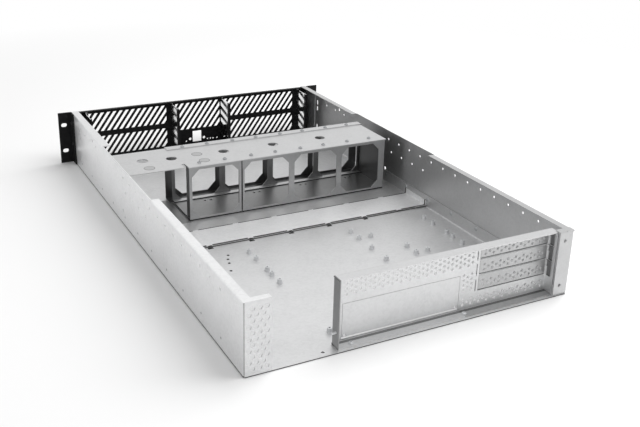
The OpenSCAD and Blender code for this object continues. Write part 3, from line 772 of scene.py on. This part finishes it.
@dataclass
class RearZones:
    """Zones of painted shade on the rear panel and the slot covers.

    The panel's bottom flange carries more painted shade under the vents than under the connector window, with
    a dark painted fold.
    """

    flange_top_z: float = 0.0028
    under_vents: float = 0.36
    under_window: float = 0.04
    fold: Zone = Zone(0.66, y=(-FAR, 0.3488), z=(0.0013, 0.0028))
    top: Zone = Zone(0.08, z=(0.0862, FAR))
    side_shade: float = 0.55
    side_line: float = 0.0011
    foot_seam: float = 0.8
    end_seam: float = 0.6
    seam: float = 0.0011

    def panel(self) -> tuple[Zone, ...]:
        """Gives the zones of the panel and its connector blank.

        Returns:
            The zones, placed by the boxes of both nodes.
        """
        window_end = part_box("connector_blank")[0][0]
        side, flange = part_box("rear_panel")[1][0] - self.side_line, (-FAR, self.flange_top_z)
        return (Zone(self.under_vents, x=(-FAR, window_end), z=flange), Zone(self.under_window, z=flange),
                self.fold, self.top, Zone(self.side_shade, x=(side, FAR)))

    def covers(self) -> tuple[Zone, ...]:
        """Gives the painted shade in the seam along the foot of each slot cover and along the covers' two
        ends.

        Returns:
            The zones, placed by the boxes of the covers.
        """
        seams = []
        for node in ("slot_cover_1", "slot_cover_2", "slot_cover_3"):
            low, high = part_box(node)
            seams.append(Zone(self.foot_seam, z=(low[2] - self.seam, low[2] + self.seam)))
        seams.append(Zone(self.end_seam, x=(-FAR, low[0] + self.seam)))
        seams.append(Zone(self.end_seam, x=(high[0] - self.seam, FAR)))
        return tuple(seams)


@dataclass
class CaseSheets:
    """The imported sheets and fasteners, each dressed in its finish."""

    tones: SheetTones = SheetTones()
    rough: float = 0.36
    soft_rough: float = 0.38
    floor_rough: float = 0.42
    floor_metallic: float = 0.80
    step_rough: float = 0.48
    step_metallic: float = 0.70
    mirror: Triple = (0.12, 1.0, 0.01)
    # painted shade: the partition is darker below the bridge
    partition: tuple[Zone, ...] = (Zone(0.74, z=(-FAR, 0.0825)),)

    def finishes(self) -> dict[str, tuple[str, ...]]:
        """Names the nodes of each finish.

        Returns:
            The nodes' names by finish.
        """
        return {
            "right_wall": ("right_side_wall",),
            "left_wall": ("left_side_wall",),
            "floor": ("base_tray",),
            "step": ("step_plate",),
            "partition": ("fan_partition",),
            "bridge": ("fan_bridge",),
            "rear": ("rear_panel", "connector_blank"),
            "covers": ("slot_cover_1", "slot_cover_2", "slot_cover_3"),
            "backing": ("right_ear_backing", "left_ear_backing"),
            "black": ("front_panel", "front_port_bracket", "right_rack_ear", "left_rack_ear"),
            "plated": ("bridge_screws", "wall_rivets"),
            "supports": ("board_standoffs", "rear_panel_screws"),
            "oxide": ("ear_screws",),
        }

    def materials(self) -> dict[str, Material]:
        """Builds one material for each finish.

        Returns:
            The materials by finish.
        """
        tone, rough, walls, rear = self.tones, self.rough, WallZones(), RearZones()
        along_x, along_y, along_z = Rolling.ALONG_X, Rolling.ALONG_Y, Rolling.ALONG_Z
        made = {
            "right_wall": ZonedZinc("zinc_right_wall", along_y, tone.right_wall, rough, zones=walls.right()),
            "left_wall": ZonedZinc("zinc_left_wall", along_y, tone.left_wall, rough, zones=walls.left()),
            "floor": HookSlotZinc("zinc_floor", along_x, tone.floor, self.floor_rough, self.floor_metallic,
                                  zones=FloorZones().every()),
            "step": SlitFoldZinc("zinc_step", along_x, tone.step, self.step_rough, self.step_metallic),
            "partition": ZonedZinc("zinc_partition", along_x, tone.partition, rough, zones=self.partition),
            "tub_frame": ZincSheet("zinc_fan_frame", along_x, tone.tub_frame, rough),
            "tub_inside": ZincSheet("zinc_fan_inner", along_x, tone.tub_inside, rough),
            "tub_floor": ZincSheet("zinc_fan_floor", along_x, tone.tub_floor, rough),
            "tub_ends": ZincSheet("zinc_fan_ends", along_z, tone.tub_ends, rough),
            "knock_out": ZincSheet("zinc_knock_out", along_x, tone.knock_out, rough),
            "bridge": ZincSheet("zinc_bridge", along_x, tone.bridge, self.soft_rough),
            "rear": ZonedZinc("zinc_rear", along_x, tone.rear, self.soft_rough, zones=rear.panel()),
            "covers": ZonedZinc("zinc_cover", along_x, tone.covers, rough, zones=rear.covers()),
            "backing": ZincSheet("zinc_backing", along_z, tone.backing, rough),
            "divider": ZincSheet("zinc_divider", along_z, tone.divider, *self.mirror),
            "collars": ZincSheet("zinc_collar", along_x, tone.collars, rough),
            "black": PowderCoat("black_powder_coat"),
            "plated": TurnedMetal("plated_steel", (0.42, 0.43, 0.44), metallic=0.9, rough=0.45),
            "supports": TurnedMetal("plated_support", (0.74, 0.75, 0.76), metallic=0.8, rough=0.5),
            "oxide": TurnedMetal("black_oxide", (0.02, 0.02, 0.022), metallic=0.4, rough=0.4),
        }
        return {key: finish.build() for key, finish in made.items()}

    def dress(self) -> dict[str, Material]:
        """Puts each finish into the material slots of its nodes.

        Returns:
            The materials by finish.
        """
        materials = self.materials()
        for key, nodes in self.finishes().items():
            for node in nodes:
                self.paint(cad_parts[node], materials[key])
                LOG.info("%s wears %s", node, materials[key].name)
        return materials

    @staticmethod
    def paint(piece: Object, material: Material) -> None:
        """Fills every material slot of a piece.

        Args:
            piece: The piece.
            material: The material.
        """
        if not piece.material_slots:
            piece.data.materials.append(material)
        for slot in piece.material_slots:
            slot.material = material


@dataclass
class BayDividers:
    """Four bright sheets behind the grille between the drive bays, each with a black guard on its rear edge.

    Sizes are on the bench.
    """

    faces_u: tuple[float, float, float, float] = (21.0, 171.2, 265.2, 417.0)
    sheet: float = 1.2
    depth: float = 42.0
    front_b: float = 724.0
    foot_z: float = 1.2
    top_z: float = 84.0
    flange: float = 5.0
    guard_width: float = 3.5
    guard_length: float = 5.5

    def build(self, zinc: Material, black: Material) -> None:
        """Makes each sheet in the place of its packed plate, and the guards as one piece.

        Args:
            zinc: The finish of the sheets.
            black: The finish of the guards.
        """
        guards = Skin()
        rear_b, inner_b = self.front_b - self.depth, self.front_b - self.sheet
        height = (self.foot_z, self.top_z)
        for index, u in enumerate(self.faces_u, start=1):
            skin = Skin()
            skin.add(*slab((u, u + self.sheet), (rear_b, self.front_b), height))
            skin.add(*slab((u + self.sheet, u + self.flange), (inner_b, self.front_b), height))
            sheet = skin.build(f"bay_divider_{index}", zinc, ZINC_SLOT)
            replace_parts(sheet, f"bay_plate_{index}")
            self.add_guard(guards, u, rear_b)
        guards.build("divider_edge_guards", black, BLACK_SLOT)

    def add_guard(self, guards: Skin, u: float, rear_b: float) -> None:
        """Adds a U strip over one rear edge: two cheeks and a back.

        Args:
            guards: The skin that gathers the guards.
            u: The sheet's face.
            rear_b: The sheet's rear edge.
        """
        wall = (self.guard_width - self.sheet) / 2
        height = (self.foot_z, self.top_z)
        cheek = (rear_b, rear_b + self.guard_length - wall)
        guards.add(*slab((u - wall, u), cheek, height))
        guards.add(*slab((u + self.sheet, u + self.sheet + wall), cheek, height))
        guards.add(*slab((u - wall, u + self.sheet + wall), (rear_b - wall, rear_b), height))


class TubPart(IntEnum):
    """The parts of a fan tub, by the number of their finish."""

    FRAME = 0
    INSIDE = 1
    FLOOR = 2
    ENDS = 3
    # painted shade: black strips in the gaps under the rear face and under the tread
    SHADOW_STRIP = 4
    TREAD = 5


@dataclass
class FanTubs:
    """Two open tubs of sheet under the bridge, for one fan and for three, with eight-sided windows.

    Sizes are on the bench. The far face has posts with spread feet and no sill, the left ends are only turned
    back a little, and the end beside the left wall is a whole plate. A black strip of painted shade fills the
    gap under the rear face, and a bright tread lies on another black strip of painted shade along the floor's
    far side.
    """

    start_u: float = 89.4
    pitch: float = 81.4
    bays: int = 4
    rear_b: float = 403.0
    depth: float = 78.0
    sheet: float = 1.2
    foot_z: float = 3.1
    top_z: float = 82.4
    sill_z: float = 5.6
    lintel_z: float = 79.0
    web: float = 9.0
    chamfer: float = 11.0
    left_rim: float = 4.0
    right_rim: float = 10.0
    joint_gap: float = 2.2
    far_gap: float = 0.05
    top_flange: float = 22.0
    left_return: float = 13.3
    joint_return: float = 8.0
    joint_return_z: Span = (13.6, 68.6)
    shadow_strip_z: float = 1.3
    shadow_strip_inset: float = 0.25
    tread: float = 8.5
    tread_foot: float = 1.0
    tread_top: float = 1.6
    hole_r: float = 2.0
    hole_offset: float = 44.6
    hole_step: float = 9.4
    hole_row: float = 57.6
    # the frame, inside, floor and ends tones carry painted shade from the bridge
    finishes: tuple[str, ...] = ("tub_frame", "tub_inside", "tub_floor", "tub_ends", "black", "bridge")

    def build(self, materials: dict[str, Material]) -> None:
        """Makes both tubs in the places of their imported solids.

        Args:
            materials: The case's materials by finish.
        """
        finishes = tuple(materials[name] for name in self.finishes)
        joint = self.start_u + self.pitch
        half_gap = self.joint_gap / 2
        single, triple = Skin(), Skin()
        end_u = self.start_u + self.bays * self.pitch
        self.tub(single, 0, 0, (self.start_u, joint - half_gap), self.web / 2)
        self.tub(triple, 1, self.bays - 1, (joint + half_gap, end_u), self.right_rim)
        near_b, far_b = self.rear_b + self.sheet, self.rear_b + self.depth - self.sheet
        lip = (joint - half_gap - self.sheet, joint - half_gap)
        single.add(*slab(lip, (near_b, self.rear_b + self.joint_return), self.joint_return_z), TubPart.ENDS)
        height = (self.foot_z + self.sheet, self.top_z - self.sheet)
        triple.add(*slab((end_u - self.sheet, end_u), (near_b, far_b), height), TubPart.ENDS)
        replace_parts(single.build("single_fan_tub", finishes, ZINC_SLOT), "single_fan_cage")
        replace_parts(triple.build("triple_fan_tub", finishes, ZINC_SLOT), "triple_fan_cage")

    def tub(self, skin: Skin, first: int, last: int, ends: Span, end_rim: float) -> None:
        """Adds the faces, floor, top flange, left return, shadow strips and tread of one tub.

        Args:
            skin: The skin that gathers the tub.
            first: Its first bay.
            last: Its last bay.
            ends: Its two ends.
            end_rim: The rim beside the last rear window.
        """
        t, low_z = self.sheet, self.foot_z + self.sheet
        rear, far = (self.rear_b, self.rear_b + t), (self.rear_b + self.depth - t, self.rear_b + self.depth)
        whole = (self.start_u + first * self.pitch + self.far_gap,
                 self.start_u + (last + 1) * self.pitch - self.far_gap)
        outer = self.windows(first, last, self.left_rim, end_rim)
        inner = self.windows(first, last, self.web / 2, self.web / 2)
        self.face(skin, rear, outer, ends, self.sill_z, TubPart.FRAME)
        skin.add(*slab(ends, rear, (self.foot_z, self.sill_z)), TubPart.FRAME)
        self.face(skin, far, inner, whole, low_z, TubPart.INSIDE)
        flange = (rear[1], rear[0] + self.top_flange)
        skin.add(*slab(ends, flange, (self.top_z - t, self.top_z)), TubPart.INSIDE)
        turned = (rear[1], rear[0] + self.left_return)
        skin.add(*slab((ends[0], ends[0] + t), turned, (low_z, self.top_z - t)), TubPart.ENDS)
        # painted shade: a black strip fills the gap under the rear face
        shadow_gap = (rear[0] + self.shadow_strip_inset, rear[1])
        skin.add(*slab(ends, shadow_gap, (self.shadow_strip_z, self.foot_z)), TubPart.SHADOW_STRIP)
        near_b, tread_z = far[0] - self.tread, low_z + self.tread_foot
        # painted shade: a black strip under the tread
        skin.add(*slab(whole, (near_b + self.shadow_strip_inset, far[0]), (low_z, tread_z)), TubPart.SHADOW_STRIP)
        skin.add(*slab(whole, (near_b, far[0]), (tread_z, low_z + self.tread_top)), TubPart.TREAD)
        for bay in range(first, last + 1):
            left = whole[0] if bay == first else self.start_u + bay * self.pitch
            right = whole[1] if bay == last else self.start_u + (bay + 1) * self.pitch
            self.floor(skin, bay, (left, right), (rear[1], far[1]))

    def windows(self, first: int, last: int, left: float, right: float) -> list[Span]:
        """Gives each window's two sides along the tub.

        Args:
            first: The tub's first bay.
            last: The tub's last bay.
            left: The rim before the first window.
            right: The rim after the last window.

        Returns:
            The sides.
        """
        half = self.web / 2
        spans = []
        for bay in range(first, last + 1):
            start = self.start_u + bay * self.pitch
            low = start + (left if bay == first else half)
            spans.append((low, start + self.pitch - (right if bay == last else half)))
        return spans

    def face(self, skin: Skin, b: Span, windows: list[Span], ends: Span, low_z: float, part: TubPart) -> None:
        """Adds one windowed face: a lintel, and a post beside each window that widens at its foot and head.

        Args:
            skin: The skin that gathers the tub.
            b: The face's two sides.
            windows: The windows' sides along the tub.
            ends: The face's ends.
            low_z: The bottom of the windows.
            part: The face's finish.
        """
        skin.add(*slab(ends, b, (self.lintel_z, self.top_z)), part)
        lefts = [ends[0], *(right for _, right in windows)]
        rights = [*(left for left, _ in windows), ends[1]]
        for index, (left, right) in enumerate(zip(lefts, rights)):
            grow_left = 0.0 if index == 0 else self.chamfer
            grow_right = 0.0 if index == len(windows) else self.chamfer
            wide, slim = (left - grow_left, right + grow_right), (left, right)
            skin.add(*upright(b, ((low_z, *wide), (low_z + self.chamfer, *slim),
                                  (self.lintel_z - self.chamfer, *slim), (self.lintel_z, *wide))), part)

    def floor(self, skin: Skin, bay: int, u: Span, b: Span) -> None:
        """Adds one bay's floor, with its pair of drain holes.

        Args:
            skin: The skin that gathers the tub.
            bay: The bay.
            u: The floor's ends.
            b: The floor's near and far edges.
        """
        z = (self.foot_z, self.foot_z + self.sheet)
        half = self.hole_step / 2
        first = self.start_u + bay * self.pitch + self.hole_offset
        row = self.rear_b + self.hole_row
        sides = (first - half, first + self.hole_step + half)
        plates = (slab((u[0], sides[0]), b, z), slab((sides[1], u[1]), b, z),
                  slab(sides, (b[0], row - half), z), slab(sides, (row + half, b[1]), z),
                  pierced_square(first, row, half, self.hole_r, z),
                  pierced_square(first + self.hole_step, row, half, self.hole_r, z))
        for plate in plates:
            skin.add(*plate, TubPart.FLOOR)


@dataclass
class SupportCollars:
    """The swaged collar that a press-in board support raises round its foot, in mm."""

    inner_r: float = 3.22
    outer_r: float = 4.3
    height: float = 0.4
    floor_z: float = 1.2
    reach: float = 7.5
    slope_points: int = 6

    def profile(self) -> Array:
        """A low rounded ridge, closed under its foot.

        For t from 0 to 1 the slope runs from the outer to the inner radius at a height of sin(t pi / 2).

        Returns:
            Radii and heights.
        """
        t = np.linspace(0.0, 1.0, self.slope_points)
        radii = self.outer_r - (self.outer_r - self.inner_r) * t
        slope = np.stack([radii, self.height * np.sin(t * math.pi / 2)], axis=1)
        return np.concatenate([np.array([[self.inner_r, 0.0]]), slope])

    def build(self, material: Material) -> None:
        """Makes one collar for each support.

        Args:
            material: The finish.
        """
        skin = Skin()
        ring, faces = turned_ring(self.profile() * MM)
        for x, y in self.centres():
            skin.add(ring + np.array((x, y, self.floor_z * MM)), faces)
        skin.build("support_collars", material, ZINC_SLOT)

    def centres(self) -> Array:
        """Finds the centres of the supports.

        The vertices within reach of the first one left are one support, and its centre is that of their box.

        Returns:
            An n by 2 array of X and Y.
        """
        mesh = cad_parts["board_standoffs"].data
        co = np.zeros(len(mesh.vertices) * 3)
        mesh.vertices.foreach_get("co", co)
        xy = co.reshape(-1, 3)[:, :2]
        found: list[Array] = []
        while len(xy):
            near = np.hypot(*(xy - xy[0]).T) < self.reach * MM
            found.append((xy[near].min(0) + xy[near].max(0)) / 2)
            xy = xy[~near]
        return np.array(found)


@dataclass
class KnockOuts:
    """Round knock-outs in the bridge that were never pushed out: each shows as a thin stamped ring, in mm."""

    places: tuple[Span, ...] = ((120.0, 454.0), (38.2, 424.0), (120.8, 424.5))
    radius: float = 8.0
    width: float = 0.9
    height: float = 0.25
    disc: float = 0.12
    eye: float = 0.05
    plate_z: float = 83.6
    steps: int = 40
    ridge_points: int = 6

    def build(self, finishes: tuple[Material, ...]) -> None:
        """Makes a thin disc for each knock-out inside a low ridge with a profile of a half sine.

        Args:
            finishes: The finishes of the disc and of the ridge.
        """
        t = np.linspace(0.0, 1.0, self.ridge_points)
        ridge = np.stack([self.radius - self.width * t, self.height * np.sin(math.pi * t)], axis=1)
        edge = self.radius - self.width
        disc = np.array([[self.eye, 0.0], [edge, 0.0], [edge, self.disc], [self.eye, self.disc]])
        skin = Skin()
        for number, profile in enumerate((disc, ridge)):
            ring, faces = turned_ring(profile * MM, self.steps)
            for u, b in self.places:
                skin.add(ring + from_bench(np.array((u, b, self.plate_z))), faces, number)
        skin.build("bridge_knock_outs", finishes, ZINC_SLOT)


# The studio


@dataclass
class PhotoCamera:
    """The camera that took the photograph, from a fit to the case's corners."""

    place: Triple = (0.53288, 1.0972, 0.5279)
    turn: tuple[float, float, float, float] = (0.19067, 0.146604, 0.546633, 0.802088)
    lens: float = 50.509
    sensor: float = 36.0
    shift_y: float = -0.05
    clip: Span = (0.01, 100.0)

    def build(self) -> None:
        """Makes the camera and hands it to the scene."""
        data = bpy.data.cameras.new("photo_camera")
        data.lens, data.sensor_width, data.shift_y = self.lens, self.sensor, self.shift_y
        data.clip_start, data.clip_end = self.clip
        camera = bpy.data.objects.new("photo_camera", data)
        camera.rotation_mode = "QUATERNION"
        camera.location = self.place
        camera.rotation_quaternion = Quaternion(self.turn)
        bpy.context.scene.collection.objects.link(camera)
        bpy.context.scene.camera = camera


@dataclass(frozen=True)
class SoftLamp:
    """A square lamp aimed at the case and kept out of reflections, which see the white surround."""

    name: str
    place: Triple
    size: float
    power: float
    aim: Triple = (0.0, 0.0, 0.04)

    def build(self) -> None:
        """Makes the lamp."""
        data = bpy.data.lights.new(self.name, "AREA")
        data.shape, data.size, data.energy = "SQUARE", self.size, self.power
        lamp = bpy.data.objects.new(self.name, data)
        lamp.location = self.place
        lamp.visible_glossy = False
        lamp.rotation_mode = "QUATERNION"
        lamp.rotation_quaternion = (Vector(self.aim) - Vector(self.place)).to_track_quat("-Z", "Y")
        bpy.context.scene.collection.objects.link(lamp)


@dataclass
class SoftStudio:
    """A pale floor, a white surround and two large soft lamps.

    The floor melts into the white between the two distances of melt, and carries a painted shadow under the
    case.
    """

    floor_half: float = 6.0
    floor_z: float = -0.0004
    floor_tone: float = 0.86
    melt: Span = (0.55, 1.5)
    painted_shadow_tone: float = 0.03
    under_margin: float = 0.012
    world_fill: float = 0.54
    key: SoftLamp = SoftLamp("key_lamp", (-1.1, 0.15, 1.6), 2.2, 50.0)
    fill: SoftLamp = SoftLamp("fill_lamp", (1.4, 1.6, 1.5), 1.8, 3.0)

    def build(self) -> None:
        """Makes the surround, the floor and the lamps."""
        self.surround()
        self.floor()
        self.key.build()
        self.fill.build()

    def surround(self) -> None:
        """White to the eye and to reflections, a little darker as a light source."""
        world = bpy.data.worlds.new("white_surround")
        bpy.context.scene.world = world
        web = NodeWeb(world)
        ray = web.add("ShaderNodeLightPath").outputs
        seen = web.calc("MAXIMUM", ray["Is Camera Ray"], ray["Is Glossy Ray"])
        clear = web.calc("MAXIMUM", seen, ray["Is Transmission Ray"])
        strength = web.spread(clear, self.world_fill, 1.0, (0.0, 1.0))
        background = web.add("ShaderNodeBackground", Color=(1.0, 1.0, 1.0, 1.0), Strength=strength)
        web.add("ShaderNodeOutputWorld", Surface=background.outputs[0])

    def floor(self) -> None:
        """A wide square under the case whose far part melts into the white surround."""
        h, z = self.floor_half, self.floor_z
        mesh = bpy.data.meshes.new("studio_floor")
        mesh.from_pydata([(-h, -h, z), (h, -h, z), (h, h, z), (-h, h, z)], [], [(0, 1, 2, 3)])
        mesh.materials.append(self.floor_finish())
        piece = bpy.data.objects.new("studio_floor", mesh)
        bpy.context.scene.collection.objects.link(piece)

    def floor_finish(self) -> Material:
        """Makes the floor's material.

        Returns:
            The material.
        """
        web = NodeWeb(bpy.data.materials.new("studio_floor"))
        apart = web.add("ShaderNodeVectorMath", {"operation": "LENGTH"})
        web.feed(apart.inputs[0], web.place())
        far = web.spread(apart.outputs["Value"], 0.0, 1.0, self.melt)
        at = web.axes()
        # painted shadow: the floor is dark under the case
        under = web.calc("MULTIPLY", web.near(at["X"], 0.0, WIDTH / 2 - self.under_margin),
                         web.near(at["Y"], 0.0, LENGTH / 2 - self.under_margin))
        colour = web.tones(under, ((0.0, (self.floor_tone,) * 3), (1.0, (self.painted_shadow_tone,) * 3)))
        mix = web.add("ShaderNodeMixShader")
        matt = web.add("ShaderNodeBsdfDiffuse", Color=colour)
        white = web.add("ShaderNodeEmission", Color=(1.0, 1.0, 1.0, 1.0), Strength=1.0)
        for socket, value in zip(mix.inputs, (far, matt.outputs[0], white.outputs[0])):
            web.feed(socket, value)
        web.add("ShaderNodeOutputMaterial", Surface=mix.outputs[0])
        return web.owner


def main() -> None:
    """Dresses the case, adds its pressed details, and sets up the studio."""
    logging.basicConfig(level=logging.INFO, format="%(name)s %(message)s")
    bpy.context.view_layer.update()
    materials = CaseSheets().dress()
    SupportCollars().build(materials["collars"])
    BayDividers().build(materials["divider"], materials["black"])
    FanTubs().build(materials)
    # painted shade: the ridges wear the dark tone of the tubs' insides
    KnockOuts().build((materials["knock_out"], materials["tub_inside"]))
    SoftStudio().build()
    PhotoCamera().build()
    bpy.context.scene.view_settings.view_transform = "Standard"


if __name__ == "__main__":
    main()
